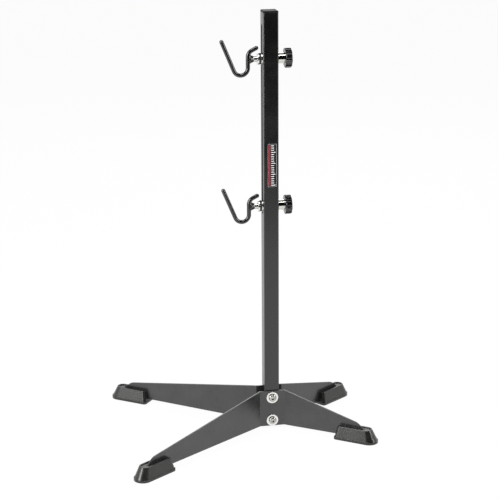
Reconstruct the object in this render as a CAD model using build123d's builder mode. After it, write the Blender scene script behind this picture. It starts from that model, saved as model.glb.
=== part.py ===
from build123d import *
import os
from math import cos, radians, sin

# A free-standing two-hook stand: a slotted square post bolted between two bent
# base plates with rubber feet, and two hooks clamped in the slot by hand knobs.
# Millimetres, +Z up, front is -Y. The origin is on the floor, under the middle
# of the overall footprint.

# post
tube_size = 20.0
tube_wall = 1.5
tube_corner = 1.8
tube_bottom = 3.5
stand_height = 567.0
cap_thickness = 2.0
cap_skirt = 12.0
cap_wall = 1.8
slot_width = 7.0
slot_low = 300.4
slot_high = 549.7

# base plates
sheet = 2.0
hub_low = 3.0
hub_high = 53.6
bend_x = 16.9
bend_radius = 4.0
leg_angle = 36.0
long_leg = 228.4
short_leg = 135.9
corner_back = 29.8
corner_height = 24.8
corner_radius = 14.0
nose_back = 12.4
nose_height = 11.1
leg_low_rise = 2.2
bolt_heights = {"lower": 11.3, "upper": 44.3}

# feet
foot_length = 59.0
foot_half = 12.2
foot_rim = 3.2
foot_height = 17.8
foot_inner_radius = 4.0
foot_ledge = 0.8
foot_top_half = 7.6
foot_top_outer = 8.4
foot_top_inner = 3.6
foot_top_radius = 0.7
ridge_width = 1.9
channel_depth = 1.4
pocket_gap = 0.15
slit_gap = 1.0
slit_floor = 12.5

# base fasteners, M6
shank_radius = 3.0
thread_gap = 0.05
clear_hole = 3.25
head_radius = 5.25
head_height = 3.3
head_round = 2.3
socket_width = 4.0
socket_depth = 2.0
washer_radius = 8.0
washer_thickness = 1.2
nut_width = 10.0
nut_height = 5.0
bolt_tail = 2.0
thread_chamfer = 0.6

# hooks, all measured from the stud's axis and the post's axis
rod_radius = 2.75
stem_x = -28.1
cradle_radius = 9.4
cradle_drop = 11.3
arm_lean = 22.5
arm_length = 41.0
tail_rise = 2.5
tail_turn = 63.0
tail_length = 6.5
boss_large = 5.9
boss_small = 3.75
boss_start = -27.0
boss_wide = -25.4
boss_end = -21.0
stud_heights = {"lower": 311.5, "upper": 505.6}

# clamp stack on the left face of the post
running_gap = 0.05
plate_washer = 1.6
rubber_washer_thickness = 3.0
rubber_washer_radius = 7.25
shoulder_radius = 4.0
stud_end = 23.5

# knobs and their bushes
neck_radius = 7.0
neck_end = 19.3
knob_end = 28.0
knob_radius = 12.8
knob_round = 1.4
flute_count = 10
flute_radius = 2.6
flute_depth = 2.0
spigot_radius = 4.0
spigot_end = 24.0
bush_chamfer = 0.5
knob_bore_end = 24.6

# label plate on the front of the post
label_width = 12.8
label_height = 58.4
label_centre = (1.2, 367.3)
label_thickness = 0.2

face = tube_size / 2
plate_mid = face + sheet / 2
plate_outer = face + sheet
lean = radians(leg_angle)
left_reach = bend_x + (long_leg - foot_half) * cos(lean) + foot_half
right_reach = bend_x + (short_leg - foot_half) * cos(lean) + foot_half
axis_x = (left_reach - right_reach) / 2

LEFT, RIGHT = -1, 1
FRONT, REAR = -1, 1
leg_lengths = {LEFT: long_leg, RIGHT: short_leg}


def leg_direction(side, end):
    return (side * cos(lean), end * sin(lean), 0)


def leg_plan(side, end, height):
    """Horizontal plane whose X runs out along a leg from its bend."""
    origin = (axis_x + side * bend_x, end * plate_mid, height)
    return Plane(origin=origin, x_dir=leg_direction(side, end), z_dir=(0, 0, 1))


def leg_side(side, end):
    """Upright plane in the middle of a leg's sheet: X out along the leg, Y up."""
    along = Vector(*leg_direction(side, end))
    origin = (axis_x + side * bend_x, end * plate_mid, 0)
    return Plane(origin=origin, x_dir=along, z_dir=along.cross(Vector(0, 0, 1)))


def save(builder, label):
    builder.part.label = label
    export_step(builder.part, f"parts/{label}.step")
    print(label, round(builder.part.volume, 1))


os.makedirs("parts", exist_ok=True)


# post tube: square tube, slotted through its left and right walls
tube_top = stand_height - cap_thickness
slot_middle = (slot_low + slot_high) / 2
with BuildPart() as post_tube:
    with BuildSketch(Plane.XY.offset(tube_bottom)):
        with Locations((axis_x, 0)):
            RectangleRounded(tube_size, tube_size, tube_corner)
            inner = tube_size - 2 * tube_wall
            RectangleRounded(inner, inner, tube_corner / 2, mode=Mode.SUBTRACT)
    extrude(amount=tube_top - tube_bottom)
    with BuildSketch(Plane.YZ.offset(axis_x)):
        with Locations((0, slot_middle)):
            SlotOverall(slot_high - slot_low, slot_width, rotation=90)
    extrude(amount=tube_size, both=True, mode=Mode.SUBTRACT)
    with BuildSketch(Plane.XZ):
        with Locations(*[(axis_x, height) for height in bolt_heights.values()]):
            Circle(clear_hole)
    extrude(amount=tube_size, both=True, mode=Mode.SUBTRACT)
save(post_tube, "post_tube")


# post cap: a flanged plug with a hollow skirt inside the tube
with BuildPart() as post_cap:
    with BuildSketch(Plane.XY.offset(tube_top)):
        with Locations((axis_x, 0)):
            RectangleRounded(tube_size, tube_size, tube_corner)
    extrude(amount=cap_thickness)
    chamfer(post_cap.faces().sort_by(Axis.Z)[-1].edges(), length=cap_thickness / 3)
    with BuildSketch(Plane.XY.offset(tube_top)):
        with Locations((axis_x, 0)):
            skirt = tube_size - 2 * tube_wall - 2 * running_gap
            RectangleRounded(skirt, skirt, tube_corner / 2)
            hollow = skirt - 2 * cap_wall
            RectangleRounded(hollow, hollow, tube_corner / 4, mode=Mode.SUBTRACT)
    extrude(amount=-cap_skirt)
save(post_cap, "post_cap")


# label: a thin bare plate on the front face
with BuildPart() as post_label:
    with BuildSketch(Plane.XZ.offset(face)):
        with Locations((axis_x + label_centre[0], label_centre[1])):
            RectangleRounded(label_width, label_height, label_width / 12)
    extrude(amount=label_thickness)
save(post_label, "post_label")


def leg_top(length, spare=0.0):
    """Corner and nose of a leg's upper edge, along the leg and up."""
    corner = (length - corner_back, corner_height + spare)
    nose = (length - nose_back + spare, nose_height + spare)
    return corner, nose


def leg_low(along):
    """Height of a leg's lower edge at a distance along it."""
    return hub_low + leg_low_rise * along / (long_leg - nose_back)


def trim_leg(side):
    """Cut the tapering upper edge and the rising lower edge of a front leg."""
    length = leg_lengths[side]
    corner, nose = leg_top(length)
    clear = hub_high + sheet
    with BuildSketch(leg_side(side, FRONT)) as waste:
        with BuildLine():
            FilletPolyline((0, hub_high), corner, nose, radius=corner_radius)
            Polyline(nose, (nose[0], 0), (length, 0), (length, clear), (0, clear), (0, hub_high))
        make_face()
        with BuildLine():
            end = nose[0] + sheet
            Polyline((0, 0), (end, 0), (end, leg_low(end)), (0, hub_low), (0, 0))
        make_face()
    extrude(waste.sketch, amount=2 * sheet, both=True, mode=Mode.SUBTRACT)


def leg_end(side):
    length = leg_lengths[side] - nose_back + sheet
    x = axis_x + side * (bend_x + length * cos(lean))
    return (x, -plate_mid - length * sin(lean))


# front base plate: one strip bent twice, with two tapering legs
with BuildPart() as front_base_plate:
    with BuildSketch(Plane.XY.offset(hub_low)):
        with BuildLine():
            left_bend = (axis_x - bend_x, -plate_mid)
            right_bend = (axis_x + bend_x, -plate_mid)
            FilletPolyline(leg_end(LEFT), left_bend, right_bend, leg_end(RIGHT), radius=bend_radius)
            offset(amount=sheet / 2, side=Side.BOTH)
        make_face()
    extrude(amount=hub_high - hub_low)
    trim_leg(LEFT)
    trim_leg(RIGHT)
    with BuildSketch(Plane.XZ):
        with Locations(*[(axis_x, height) for height in bolt_heights.values()]):
            Circle(clear_hole)
    extrude(amount=2 * face, mode=Mode.SUBTRACT)
save(front_base_plate, "front_base_plate")

# rear base plate: the front one mirrored across the post
with BuildPart() as rear_base_plate:
    add(mirror(front_base_plate.part, about=Plane.XZ, mode=Mode.PRIVATE))
save(rear_base_plate, "rear_base_plate")


def foot_outline(inner, outer, half):
    """Plan of a foot on the current sketch: round outer end, small inner corners."""
    middle = outer - half
    with Locations(((inner + middle) / 2, 0)):
        Rectangle(middle - inner, 2 * half)
    with Locations((middle, 0)):
        Circle(half)
    fillet(vertices().group_by(Axis.X)[0], radius=foot_inner_radius)


# feet: a flat rim, sloping sides, a shallow channel along the top, a wider slit
# below it and a close pocket for the leg
for end, end_name in ((FRONT, "front"), (REAR, "rear")):
    for side, side_name in ((LEFT, "left"), (RIGHT, "right")):
        length = leg_lengths[side]
        inner = length - foot_length
        outside = inner - sheet
        corner, nose = leg_top(length, pocket_gap)
        with BuildPart() as foot:
            with BuildSketch(leg_plan(side, end, 0)):
                foot_outline(inner, length, foot_half)
            extrude(amount=foot_rim)
            with BuildSketch(leg_plan(side, end, foot_rim)):
                foot_outline(inner + foot_ledge, length - foot_ledge, foot_half - foot_ledge)
            with BuildSketch(leg_plan(side, end, foot_height)):
                foot_outline(inner + foot_top_inner, length - foot_top_outer, foot_top_half)
            loft(ruled=True)
            with BuildSketch(leg_plan(side, end, foot_height)):
                channel_half = foot_top_half - ridge_width
                channel_end = length - foot_top_outer - ridge_width - channel_half
                with Locations(((outside + channel_end) / 2, 0)):
                    Rectangle(channel_end - outside, 2 * channel_half)
                with Locations((channel_end, 0)):
                    Circle(channel_half)
            extrude(amount=-channel_depth, mode=Mode.SUBTRACT)
            with BuildSketch(leg_side(side, end)):
                with BuildLine():
                    low = leg_low(outside) - pocket_gap
                    high = foot_height + corner[1]
                    Polyline((outside, low), (nose[0], low), nose, corner, (corner[0], high),
                             (outside, high), (outside, low))
                make_face()
            extrude(amount=sheet / 2 + pocket_gap, both=True, mode=Mode.SUBTRACT)
            with BuildSketch(leg_side(side, end)):
                with BuildLine():
                    slit_end = corner[0] + (nose[0] - corner[0]) / 2
                    Polyline((outside, slit_floor), (slit_end, slit_floor), (slit_end, high),
                             (outside, high), (outside, slit_floor))
                make_face()
            extrude(amount=sheet / 2 + slit_gap, both=True, mode=Mode.SUBTRACT)
            fillet(foot.faces().sort_by(Axis.Z).filter_by(Axis.Z)[-1].edges(), radius=foot_top_radius)
        save(foot, f"{end_name}_{side_name}_foot")


# base fasteners: each bolt runs front to rear through both plates and the post
washer_face = plate_outer + washer_thickness
for level, height in bolt_heights.items():
    with BuildPart() as base_bolt:
        with BuildSketch(Plane.XZ.offset(washer_face)):
            with Locations((axis_x, height)):
                Circle(head_radius)
        extrude(amount=head_height)
        fillet(base_bolt.edges().sort_by(Axis.Y)[0], radius=head_round)
        with BuildSketch(Plane.XZ.offset(washer_face + head_height)):
            with Locations((axis_x, height)):
                RegularPolygon(socket_width / 2, 6, major_radius=False, rotation=30)
        extrude(amount=-socket_depth, mode=Mode.SUBTRACT)
        with BuildSketch(Plane.XZ.offset(washer_face)):
            with Locations((axis_x, height)):
                Circle(shank_radius)
        extrude(amount=-(2 * washer_face + nut_height + bolt_tail))
        chamfer(base_bolt.edges().sort_by(Axis.Y)[-1], length=thread_chamfer)
    save(base_bolt, f"{level}_base_bolt")

    for end_name, start in (("front", washer_face), ("rear", -plate_outer)):
        with BuildPart() as base_washer:
            with BuildSketch(Plane.XZ.offset(start)):
                with Locations((axis_x, height)):
                    Circle(washer_radius)
                    Circle(shank_radius + thread_gap, mode=Mode.SUBTRACT)
            extrude(amount=-washer_thickness)
        save(base_washer, f"{level}_{end_name}_washer")

    with BuildPart() as base_nut:
        with BuildSketch(Plane.XZ.offset(-washer_face)):
            with Locations((axis_x, height)):
                RegularPolygon(nut_width / 2, 6, major_radius=False, rotation=30)
                Circle(shank_radius + thread_gap, mode=Mode.SUBTRACT)
        extrude(amount=-nut_height)
    save(base_nut, f"{level}_base_nut")


def polar(centre, radius, degrees):
    """A point on a circle in the hook's upright plane."""
    return (centre[0] + radius * cos(radians(degrees)), centre[1] + radius * sin(radians(degrees)))


def rod(x_start, x_stop, radius, height):
    """A cylinder along X at a stud's height, on the post's axis."""
    with BuildSketch(Plane.YZ.offset(axis_x + x_start)) as section:
        with Locations((0, height)):
            Circle(radius)
    extrude(section.sketch, amount=x_stop - x_start)


def ring(x_start, x_stop, radius, hole, height):
    """A washer or sleeve along X at a stud's height."""
    with BuildSketch(Plane.YZ.offset(axis_x + x_start)) as section:
        with Locations((0, height)):
            Circle(radius)
            Circle(hole, mode=Mode.SUBTRACT)
    extrude(section.sketch, amount=x_stop - x_start)


inner_washer_start = -(face + running_gap)
rubber_start = inner_washer_start - plate_washer
outer_washer_start = rubber_start - rubber_washer_thickness
stack_end = outer_washer_start - plate_washer
running_hole = shank_radius + running_gap

for level, height in stud_heights.items():
    # hook: one bent rod with round ends and a tapered boss on its stem
    cradle = (axis_x + stem_x - cradle_radius, height - cradle_drop)
    arm_foot = polar(cradle, cradle_radius, 180 + arm_lean)
    arm_tip = polar(arm_foot, arm_length, 90 + arm_lean)
    stem_foot = polar(cradle, cradle_radius, 0)
    stem_top = (axis_x + stem_x, height + tail_rise)
    bend = (stem_top[0] + cradle_radius, stem_top[1])
    tail_foot = polar(bend, cradle_radius, 180 - tail_turn)
    tail_tip = polar(tail_foot, tail_length, 90 - tail_turn)
    with BuildPart() as hook:
        with BuildLine(Plane.XZ) as path:
            Line(arm_tip, arm_foot)
            ThreePointArc(arm_foot, polar(cradle, cradle_radius, 270), stem_foot)
            Line(stem_foot, stem_top)
            ThreePointArc(stem_top, polar(bend, cradle_radius, 180 - tail_turn / 2), tail_foot)
            Line(tail_foot, tail_tip)
        with BuildSketch(Plane(origin=path.wires()[0] @ 0, z_dir=path.wires()[0] % 0)):
            Circle(rod_radius)
        sweep()
        with Locations((arm_tip[0], 0, arm_tip[1]), (tail_tip[0], 0, tail_tip[1])):
            Sphere(rod_radius)
        with BuildSketch(Plane.XZ):
            with BuildLine():
                Polyline((axis_x + boss_start, height), (axis_x + boss_start, height + boss_large),
                         (axis_x + boss_wide, height + boss_large), (axis_x + boss_end, height + boss_small),
                         (axis_x + boss_end, height), (axis_x + boss_start, height))
            make_face()
        revolve(axis=Axis((axis_x, 0, height), (1, 0, 0)))
    save(hook, f"{level}_hook")

    with BuildPart() as stud:
        rod(boss_end, stack_end - running_gap, shoulder_radius, height)
        rod(stack_end - running_gap, stud_end, shank_radius, height)
        chamfer(stud.edges().sort_by(Axis.X)[-1], length=thread_chamfer)
    save(stud, f"{level}_stud")

    with BuildPart() as outer_washer:
        ring(stack_end, outer_washer_start, washer_radius, running_hole, height)
    save(outer_washer, f"{level}_outer_washer")

    with BuildPart() as rubber_washer:
        ring(outer_washer_start, rubber_start, rubber_washer_radius, running_hole, height)
    save(rubber_washer, f"{level}_rubber_washer")

    with BuildPart() as inner_washer:
        ring(rubber_start, inner_washer_start, washer_radius, running_hole, height)
    save(inner_washer, f"{level}_inner_washer")

    # bush: a turned neck against the post, with a spigot inside the knob
    with BuildPart() as knob_bush:
        ring(face + running_gap, neck_end, neck_radius, running_hole, height)
        chamfer(knob_bush.edges().filter_by(GeomType.CIRCLE).group_by(Axis.X)[0].sort_by(SortBy.RADIUS)[-1],
                length=bush_chamfer)
        ring(neck_end, spigot_end, spigot_radius, running_hole, height)
    save(knob_bush, f"{level}_knob_bush")

    # knob: a fluted head, bored for the bush's spigot and closed at its outer face
    knob_start = neck_end + running_gap
    with BuildPart() as knob:
        rod(knob_start, knob_end, knob_radius, height)
        fillet(knob.edges().filter_by(GeomType.CIRCLE), radius=knob_round)
        with BuildSketch(Plane.YZ.offset(axis_x + knob_start)):
            with Locations((0, height)):
                with PolarLocations(knob_radius - flute_depth + flute_radius, flute_count):
                    Circle(flute_radius)
        extrude(amount=knob_end - knob_start, mode=Mode.SUBTRACT)
        with BuildSketch(Plane.YZ.offset(axis_x + knob_start)):
            with Locations((0, height)):
                Circle(spigot_radius + running_gap)
        extrude(amount=knob_bore_end - knob_start, mode=Mode.SUBTRACT)
    save(knob, f"{level}_knob")
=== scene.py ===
import bpy
import math
from mathutils import Matrix, Vector


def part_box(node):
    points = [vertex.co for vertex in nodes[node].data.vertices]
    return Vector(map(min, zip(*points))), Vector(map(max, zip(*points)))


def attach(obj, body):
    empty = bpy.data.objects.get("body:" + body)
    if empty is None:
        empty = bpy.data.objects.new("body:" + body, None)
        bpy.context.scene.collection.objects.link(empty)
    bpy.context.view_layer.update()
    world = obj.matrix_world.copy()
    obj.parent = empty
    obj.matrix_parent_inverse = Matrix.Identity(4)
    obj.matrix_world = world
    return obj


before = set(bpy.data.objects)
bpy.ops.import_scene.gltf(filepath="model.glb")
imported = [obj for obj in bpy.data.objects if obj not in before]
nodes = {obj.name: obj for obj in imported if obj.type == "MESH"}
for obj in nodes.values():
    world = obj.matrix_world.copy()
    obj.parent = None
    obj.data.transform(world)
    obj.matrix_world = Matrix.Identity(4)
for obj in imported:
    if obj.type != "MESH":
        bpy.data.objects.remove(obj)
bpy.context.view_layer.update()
print("frame loaded:", len(nodes), "parts")

# where the post stands: everything below is measured from its axis
postLow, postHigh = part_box("post_tube")
postX = (postLow[0] + postHigh[0]) / 2


def newMaterial(name):
    mat = bpy.data.materials.new(name)
    mat.use_nodes = True
    tree = mat.node_tree
    shader = tree.nodes["Principled BSDF"]
    return mat, tree, shader


def place(tree, kind, **values):
    node = tree.nodes.new(kind)
    for key, value in values.items():
        if key in node.inputs:
            node.inputs[key].default_value = value
        else:
            setattr(node, key, value)
    return node


def noiseAt(tree, scale, detail=4.0, rough=0.55, stretch=(1, 1, 1)):
    # noise in the object's own metres, stretched for brushed or drawn surfaces
    coords = place(tree, "ShaderNodeTexCoord")
    mapping = place(tree, "ShaderNodeMapping")
    mapping.inputs["Scale"].default_value = stretch
    noise = place(tree, "ShaderNodeTexNoise", Scale=scale, Detail=detail, Roughness=rough)
    tree.links.new(coords.outputs["Object"], mapping.inputs["Vector"])
    tree.links.new(mapping.outputs["Vector"], noise.inputs["Vector"])
    return noise.outputs["Fac"]


def ramp(tree, source, stops):
    node = place(tree, "ShaderNodeValToRGB")
    tree.links.new(source, node.inputs["Fac"])
    bar = node.color_ramp
    while len(bar.elements) < len(stops):
        bar.elements.new(0.5)
    for element, (position, value) in zip(bar.elements, stops):
        element.position = position
        element.color = (*value, 1)
    return node.outputs["Color"]


def tint(tree, shader, cloud, look, blend, gloss=None):
    # colour wanders between dark and light with the cloud; roughness follows it, or gloss where given
    stops = [(blend[0], look["dark"]), (blend[1], look["light"])]
    tree.links.new(ramp(tree, cloud, stops), shader.inputs["Base Color"])
    tree.links.new(remap(tree, cloud if gloss is None else gloss, *look["rough"]), shader.inputs["Roughness"])


noiseSpan = {"low": 0.25, "high": 0.75}   # where most of a noise texture's values lie


def remap(tree, source, low, high):
    node = place(tree, "ShaderNodeMapRange")
    node.inputs["From Min"].default_value = noiseSpan["low"]
    node.inputs["From Max"].default_value = noiseSpan["high"]
    node.inputs["To Min"].default_value = low
    node.inputs["To Max"].default_value = high
    tree.links.new(source, node.inputs["Value"])
    return node.outputs["Result"]


bevelSamples = 6


def roundedBump(tree, shader, heights, edge):
    # edge softens the sharp corners; heights are (source, distance, strength)
    bevel = place(tree, "ShaderNodeBevel", samples=bevelSamples)
    bevel.inputs["Radius"].default_value = edge
    normal = bevel.outputs["Normal"]
    for source, distance, strength in heights:
        bump = place(tree, "ShaderNodeBump")
        bump.inputs["Distance"].default_value = distance
        bump.inputs["Strength"].default_value = strength
        tree.links.new(source, bump.inputs["Height"])
        tree.links.new(normal, bump.inputs["Normal"])
        normal = bump.outputs["Normal"]
    tree.links.new(normal, shader.inputs["Normal"])


# powder coat on the post and the base plates, lengths in metres
powderCoat = {
    "post": {"dark": (0.0026, 0.0026, 0.0025), "light": (0.0052, 0.0052, 0.0050), "rough": (0.20, 0.30),
             "grain": 1500, "depth": 0.00004, "edge": 0.0006, "ior": 1.72},
    "base": {"dark": (0.013, 0.013, 0.013), "light": (0.024, 0.024, 0.024), "rough": (0.24, 0.34),
             "grain": 620, "depth": 0.00010, "edge": 0.0004, "ior": 1.75},
}
powderTexture = {"cloud": 38, "dust": 4200, "blend": (0.35, 0.65), "peelStrength": 0.5, "dustStrength": 0.4,
                 "dustShare": 4}   # dust stands this many times lower than the peel


def makePowderCoat(name, look):
    mat, tree, shader = newMaterial(name)
    shader.inputs["IOR"].default_value = look["ior"]
    peel = noiseAt(tree, look["grain"], 3.0, 0.5)
    cloud = noiseAt(tree, powderTexture["cloud"], 4.0)
    dust = noiseAt(tree, powderTexture["dust"], 2.0)
    tint(tree, shader, cloud, look, powderTexture["blend"])
    dustDepth = look["depth"] / powderTexture["dustShare"]
    roundedBump(tree, shader, [(peel, look["depth"], powderTexture["peelStrength"]),
                               (dust, dustDepth, powderTexture["dustStrength"])], look["edge"])
    return mat


# thin black coating on the bent wire hooks
hookCoating = {
    "dark": (0.0020, 0.0020, 0.0018), "light": (0.0050, 0.0050, 0.0046), "rough": (0.16, 0.24), "ior": 1.8,
    "cloud": 160, "blend": (0.35, 0.7), "ripple": 500, "depth": 0.00001, "strength": 0.2, "edge": 0.0004,
}


def makeHookCoating():
    mat, tree, shader = newMaterial("hook coating")
    shader.inputs["IOR"].default_value = hookCoating["ior"]
    cloud = noiseAt(tree, hookCoating["cloud"], 4.0)
    ripple = noiseAt(tree, hookCoating["ripple"], 2.0)
    tint(tree, shader, cloud, hookCoating, hookCoating["blend"])
    roundedBump(tree, shader, [(ripple, hookCoating["depth"], hookCoating["strength"])], hookCoating["edge"])
    return mat


# zinc plated washers and bolts, and the turned steel of studs and knob necks
zincPlate = {
    "washers": {"dark": (0.80, 0.80, 0.79), "light": (0.90, 0.89, 0.86), "rough": (0.14, 0.26)},
    "bolts": {"dark": (0.42, 0.42, 0.41), "light": (0.56, 0.55, 0.50), "rough": (0.08, 0.16)},
    "polished": {"dark": (0.60, 0.60, 0.57), "light": (0.74, 0.73, 0.66), "rough": (0.07, 0.14)},
}
zincTexture = {"cloud": 220, "blend": (0.3, 0.7), "lines": 1800, "depth": 0.000012, "strength": 0.3,
               "edge": 0.0003}


def makeZinc(name, look, stretch):
    mat, tree, shader = newMaterial(name)
    shader.inputs["Metallic"].default_value = 1.0
    cloud = noiseAt(tree, zincTexture["cloud"], 4.0)
    lines = noiseAt(tree, zincTexture["lines"], 3.0, 0.6, stretch)
    tint(tree, shader, cloud, look, zincTexture["blend"], lines)
    roundedBump(tree, shader, [(lines, zincTexture["depth"], zincTexture["strength"])], zincTexture["edge"])
    return mat


# rubber feet and washers
rubberLook = {
    "feet": {"dark": (0.008, 0.008, 0.007), "light": (0.016, 0.016, 0.0135), "rough": (0.24, 0.34),
             "edge": 0.0007},
    "washers": {"dark": (0.008, 0.008, 0.008), "light": (0.016, 0.016, 0.016), "rough": (0.5, 0.65),
                "edge": 0.0004},
}
rubberTexture = {"cloud": 60, "blend": (0.3, 0.7), "ior": 1.6, "grain": 2200, "grainDepth": 0.00005,
                 "grainStrength": 0.5, "dips": 300, "dipDepth": 0.00003, "dipStrength": 0.2}


def makeRubber(name, look):
    mat, tree, shader = newMaterial(name)
    shader.inputs["IOR"].default_value = rubberTexture["ior"]
    cloud = noiseAt(tree, rubberTexture["cloud"], 5.0)
    grain = noiseAt(tree, rubberTexture["grain"], 3.0, 0.6)
    dips = noiseAt(tree, rubberTexture["dips"], 2.0)
    tint(tree, shader, cloud, look, rubberTexture["blend"])
    roundedBump(tree, shader, [(grain, rubberTexture["grainDepth"], rubberTexture["grainStrength"]),
                               (dips, rubberTexture["dipDepth"], rubberTexture["dipStrength"])], look["edge"])
    return mat


# hard black mouldings
mouldingLook = {
    "knob": {"dark": (0.002, 0.002, 0.002), "light": (0.004, 0.004, 0.004), "rough": (0.08, 0.14),
             "grain": 900, "depth": 0.00001, "ior": 1.75},
    "cap": {"dark": (0.003, 0.003, 0.003), "light": (0.007, 0.007, 0.007), "rough": (0.5, 0.62),
            "grain": 2400, "depth": 0.00006, "ior": 1.2},
}
mouldingTexture = {"cloud": 120, "blend": (0.3, 0.7), "strength": 0.4, "edge": 0.0004}


def makeMoulding(name, look):
    mat, tree, shader = newMaterial(name)
    shader.inputs["IOR"].default_value = look["ior"]
    cloud = noiseAt(tree, mouldingTexture["cloud"], 4.0)
    grain = noiseAt(tree, look["grain"], 3.0)
    tint(tree, shader, cloud, look, mouldingTexture["blend"])
    roundedBump(tree, shader, [(grain, look["depth"], mouldingTexture["strength"])], mouldingTexture["edge"])
    return mat


# the label's film and its prints
filmLook = {
    "film": {"dark": (0.006, 0.006, 0.007), "light": (0.012, 0.012, 0.013), "rough": (0.28, 0.4)},
    "silver": {"dark": (0.42, 0.42, 0.42), "light": (0.56, 0.56, 0.56), "rough": (0.25, 0.4)},
    "red": {"dark": (0.26, 0.008, 0.016), "light": (0.38, 0.014, 0.026), "rough": (0.3, 0.42)},
    "white": {"dark": (0.78, 0.78, 0.78), "light": (0.88, 0.88, 0.88), "rough": (0.35, 0.5)},
}
filmTexture = {"cloud": 400, "blend": (0.3, 0.7), "grain": 2600, "depth": 0.00002, "strength": 0.3,
               "edge": 0.0001}


def makeFilm(name, look):
    mat, tree, shader = newMaterial(name)
    cloud = noiseAt(tree, filmTexture["cloud"], 4.0)
    grain = noiseAt(tree, filmTexture["grain"], 2.0)
    tint(tree, shader, cloud, look, filmTexture["blend"])
    roundedBump(tree, shader, [(grain, filmTexture["depth"], filmTexture["strength"])], filmTexture["edge"])
    return mat


postPaint = makePowderCoat("post powder coat", powderCoat["post"])
basePaint = makePowderCoat("base powder coat", powderCoat["base"])
hookBlack = makeHookCoating()
zincFace = makeZinc("zinc plate", zincPlate["washers"], (1, 1, 1))
boltSteel = makeZinc("bolt steel", zincPlate["bolts"], (1, 0.3, 1))
polishedSteel = makeZinc("turned steel", zincPlate["polished"], (3, 0.4, 0.4))
footRubber = makeRubber("foot rubber", rubberLook["feet"])
washerRubber = makeRubber("washer rubber", rubberLook["washers"])
knobBlack = makeMoulding("knob moulding", mouldingLook["knob"])
capBlack = makeMoulding("cap moulding", mouldingLook["cap"])
labelFilm = makeFilm("label film", filmLook["film"])
print("materials made")

finishFor = {
    "post_tube": postPaint, "post_cap": capBlack, "post_label": labelFilm,
    "front_base_plate": basePaint, "rear_base_plate": basePaint,
}
for nodeName, part in nodes.items():
    if nodeName in finishFor:
        finish = finishFor[nodeName]
    elif nodeName.endswith("_foot"):
        finish = footRubber
    elif nodeName.endswith("rubber_washer"):
        finish = washerRubber
    elif nodeName.endswith("_hook"):
        finish = hookBlack
    elif nodeName.endswith(("_bush", "_stud")):
        finish = polishedSteel
    elif nodeName.endswith(("_bolt", "_nut")):
        finish = boltSteel
    elif nodeName.endswith("_knob"):
        finish = knobBlack
    else:
        finish = zincFace
    for slot in part.material_slots:
        slot.material = finish
print("finishes on every CAD part")


# printed height scale on the label
labelLook = {
    "margin": 0.0007, "line": 0.00028, "bandWidth": 0.0020, "bandGap": 0.0010,
    "ticks": 19, "longEvery": 5, "tickLong": 0.0056, "tickShort": 0.0038, "tickLine": 0.00085,
    "lift": 0.00004,   # how far the print stands off the film
}


def flatPiece(name, rects, y, mat):
    # thin printed rectangles, each (left, low, right, high), standing a hair off the film
    verts, faces = [], []
    for left, low, right, high in rects:
        base = len(verts)
        for depth in (y, y + labelLook["lift"]):
            verts += [(left, depth, low), (right, depth, low), (right, depth, high), (left, depth, high)]
        faces += [[base + i for i in face] for face in
                  ((0, 1, 2, 3), (7, 6, 5, 4), (0, 4, 5, 1), (1, 5, 6, 2), (2, 6, 7, 3), (3, 7, 4, 0))]
    mesh = bpy.data.meshes.new(name)
    mesh.from_pydata(verts, [], faces)
    piece = bpy.data.objects.new(name, mesh)
    bpy.context.collection.objects.link(piece)
    piece.data.materials.append(mat)
    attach(piece, "stand")


def printLabel():
    low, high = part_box("post_label")
    y = low[1] - labelLook["lift"]
    margin, line = labelLook["margin"], labelLook["line"]
    left, right = low[0] + margin, high[0] - margin
    foot, head = low[2] + margin, high[2] - margin
    border = [(left, foot, right, foot + line), (left, head - line, right, head),
              (left, foot + line, left + line, head - line), (right - line, foot + line, right, head - line)]
    silver = makeFilm("silver print", filmLook["silver"])
    red = makeFilm("red print", filmLook["red"])
    white = makeFilm("white print", filmLook["white"])
    flatPiece("label_border", border, y, silver)
    bandLeft = left + line + labelLook["bandGap"]
    bandRight = bandLeft + labelLook["bandWidth"]
    inside = labelLook["bandGap"]
    flatPiece("label_band", [(bandLeft, foot + line + inside, bandRight, head - line - inside)], y, red)
    tickLeft = bandRight + labelLook["bandGap"]
    span = head - foot - 2 * (line + 2 * inside)
    ticks = []
    for i in range(labelLook["ticks"]):
        z = foot + line + 2 * inside + span * i / (labelLook["ticks"] - 1)
        reach = labelLook["tickLong"] if i % labelLook["longEvery"] == 0 else labelLook["tickShort"]
        half = labelLook["tickLine"] / 2
        ticks.append((tickLeft, z - half, tickLeft + reach, z + half))
    flatPiece("label_scale", ticks, y, white)
    print("label printed with a plain scale")


printLabel()


view = {
    "position": (-0.36978, -1.85634, 0.82937),   # from the post's axis on the floor
    "yaw": -10.42, "pitch": 16.978, "roll": -0.422, "lens": 107.96, "sensor": 36.0,
    "reach": 50,
}


def setCamera():
    yaw, pitch, roll = (math.radians(view[key]) for key in ("yaw", "pitch", "roll"))
    back = Vector((math.sin(yaw) * math.cos(pitch), -math.cos(yaw) * math.cos(pitch), math.sin(pitch)))
    right = Vector((math.cos(yaw), math.sin(yaw), 0))
    up = back.cross(right)
    across = right * math.cos(roll) + up * math.sin(roll)
    upright = up * math.cos(roll) - right * math.sin(roll)
    data = bpy.data.cameras.new("camera")
    data.lens = view["lens"]
    data.sensor_width = view["sensor"]
    data.clip_end = view["reach"]
    camera = bpy.data.objects.new("camera", data)
    bpy.context.collection.objects.link(camera)
    matrix = Matrix((across, upright, back)).transposed().to_4x4()
    matrix.translation = Vector(view["position"]) + Vector((postX, 0, 0))
    camera.matrix_world = matrix
    bpy.context.scene.camera = camera


setCamera()
print("camera set")


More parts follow.
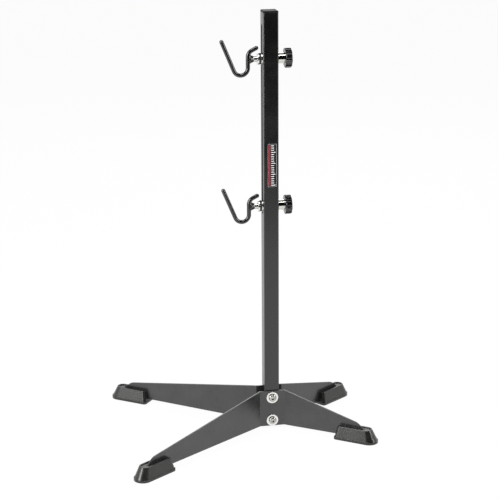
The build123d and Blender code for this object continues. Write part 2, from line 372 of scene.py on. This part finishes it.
# pale floor, dark cards and soft light
studio = {
    "floorFront": -1.2, "floorBack": 8.0, "floorSide": 5.0,
    "floorColor": 0.92, "floorRough": 0.8, "floorGlow": 0.93,
    "worldLight": 0.60, "cardColor": 0.003, "cardRough": 0.9, "aimHeight": 0.28,
    "cards": {"front": ((-1.2, -1.25, -0.3), (2.6, -1.25, 3.0)),
              "above": ((-1.0, -1.2, 1.6), (1.6, 0.9, 1.6))},
}


def whiteForView(tree, lit, glow):
    # plain white to the camera and in reflections, while other rays see the lit surface
    path = place(tree, "ShaderNodeLightPath")
    seen = place(tree, "ShaderNodeMath", operation="ADD", use_clamp=True)
    seenToo = place(tree, "ShaderNodeMath", operation="ADD", use_clamp=True)
    share = place(tree, "ShaderNodeMath", operation="MULTIPLY")
    share.inputs[1].default_value = glow
    tree.links.new(path.outputs["Is Camera Ray"], seen.inputs[0])
    tree.links.new(path.outputs["Is Glossy Ray"], seen.inputs[1])
    tree.links.new(seen.outputs[0], seenToo.inputs[0])
    tree.links.new(path.outputs["Is Transmission Ray"], seenToo.inputs[1])
    tree.links.new(seenToo.outputs[0], share.inputs[0])
    return share.outputs[0]


def makeFloor():
    mesh = bpy.data.meshes.new("floor")
    side, front, rear = studio["floorSide"], studio["floorFront"], studio["floorBack"]
    corners = [(-side, front, 0), (side, front, 0), (side, rear, 0), (-side, rear, 0)]
    mesh.from_pydata(corners, [], [(0, 1, 2, 3)])
    floor = bpy.data.objects.new("floor", mesh)
    bpy.context.collection.objects.link(floor)
    mat, tree, shader = newMaterial("studio floor")
    shade = studio["floorColor"]
    shader.inputs["Base Color"].default_value = (shade, shade, shade, 1)
    shader.inputs["Roughness"].default_value = studio["floorRough"]
    shader.inputs["Specular IOR Level"].default_value = 0.0
    glow = place(tree, "ShaderNodeEmission")
    glow.inputs["Color"].default_value = (1, 1, 1, 1)
    glow.inputs["Strength"].default_value = 1.0
    mix = place(tree, "ShaderNodeMixShader")
    tree.links.new(whiteForView(tree, shader, studio["floorGlow"]), mix.inputs["Fac"])
    tree.links.new(shader.outputs[0], mix.inputs[1])
    tree.links.new(glow.outputs[0], mix.inputs[2])
    tree.links.new(mix.outputs[0], tree.nodes["Material Output"].inputs["Surface"])
    mesh.materials.append(mat)


def makeCards():
    # dark cards out of sight in front and above, which the flat faces reflect as black
    mat, tree, shader = newMaterial("dark card")
    shade = studio["cardColor"]
    shader.inputs["Base Color"].default_value = (shade, shade, shade, 1)
    shader.inputs["Roughness"].default_value = studio["cardRough"]
    shader.inputs["Specular IOR Level"].default_value = 0.0
    for name, (a, b) in studio["cards"].items():
        mesh = bpy.data.meshes.new("card_" + name)
        if a[1] == b[1]:
            corners = [a, (b[0], a[1], a[2]), b, (a[0], a[1], b[2])]
        else:
            corners = [a, (b[0], a[1], a[2]), b, (a[0], b[1], a[2])]
        mesh.from_pydata(corners, [], [(0, 1, 2, 3)])
        card = bpy.data.objects.new("card_" + name, mesh)
        bpy.context.collection.objects.link(card)
        mesh.materials.append(mat)
        card.visible_camera = False
        card.visible_shadow = False
        card.visible_diffuse = False


def makeWorld():
    world = bpy.data.worlds.new("studio")
    bpy.context.scene.world = world
    world.use_nodes = True
    tree = world.node_tree
    soft = tree.nodes["Background"]
    soft.inputs["Color"].default_value = (1, 1, 1, 1)
    soft.inputs["Strength"].default_value = studio["worldLight"]
    white = place(tree, "ShaderNodeBackground")
    white.inputs["Color"].default_value = (1, 1, 1, 1)
    white.inputs["Strength"].default_value = 1.0
    mix = place(tree, "ShaderNodeMixShader")
    tree.links.new(whiteForView(tree, soft, 1.0), mix.inputs["Fac"])
    tree.links.new(soft.outputs[0], mix.inputs[1])
    tree.links.new(white.outputs[0], mix.inputs[2])
    tree.links.new(mix.outputs[0], tree.nodes["World Output"].inputs["Surface"])


lamps = [
    {"name": "key", "at": (-1.35, -0.75, 0.75), "wide": 0.35, "tall": 1.1, "watts": 16},
    {"name": "strip", "at": (1.15, -0.75, 0.85), "wide": 0.22, "tall": 1.0, "watts": 8},
    {"name": "top", "at": (-0.1, -0.30, 1.35), "wide": 0.8, "tall": 0.35, "watts": 6},
    {"name": "back", "at": (0.5, 1.6, 1.4), "wide": 1.0, "tall": 1.0, "watts": 8},
]


def makeLamps():
    aim = Vector((postX, 0, studio["aimHeight"]))
    for lamp in lamps:
        data = bpy.data.lights.new(lamp["name"], "AREA")
        data.shape = "RECTANGLE"
        data.size = lamp["wide"]
        data.size_y = lamp["tall"]
        data.energy = lamp["watts"]
        light = bpy.data.objects.new(lamp["name"], data)
        bpy.context.collection.objects.link(light)
        light.location = lamp["at"]
        light.rotation_euler = (aim - light.location).to_track_quat("-Z", "Y").to_euler()


makeFloor()
makeCards()
makeWorld()
makeLamps()
bpy.context.scene.view_settings.view_transform = "Standard"
print("studio lit")
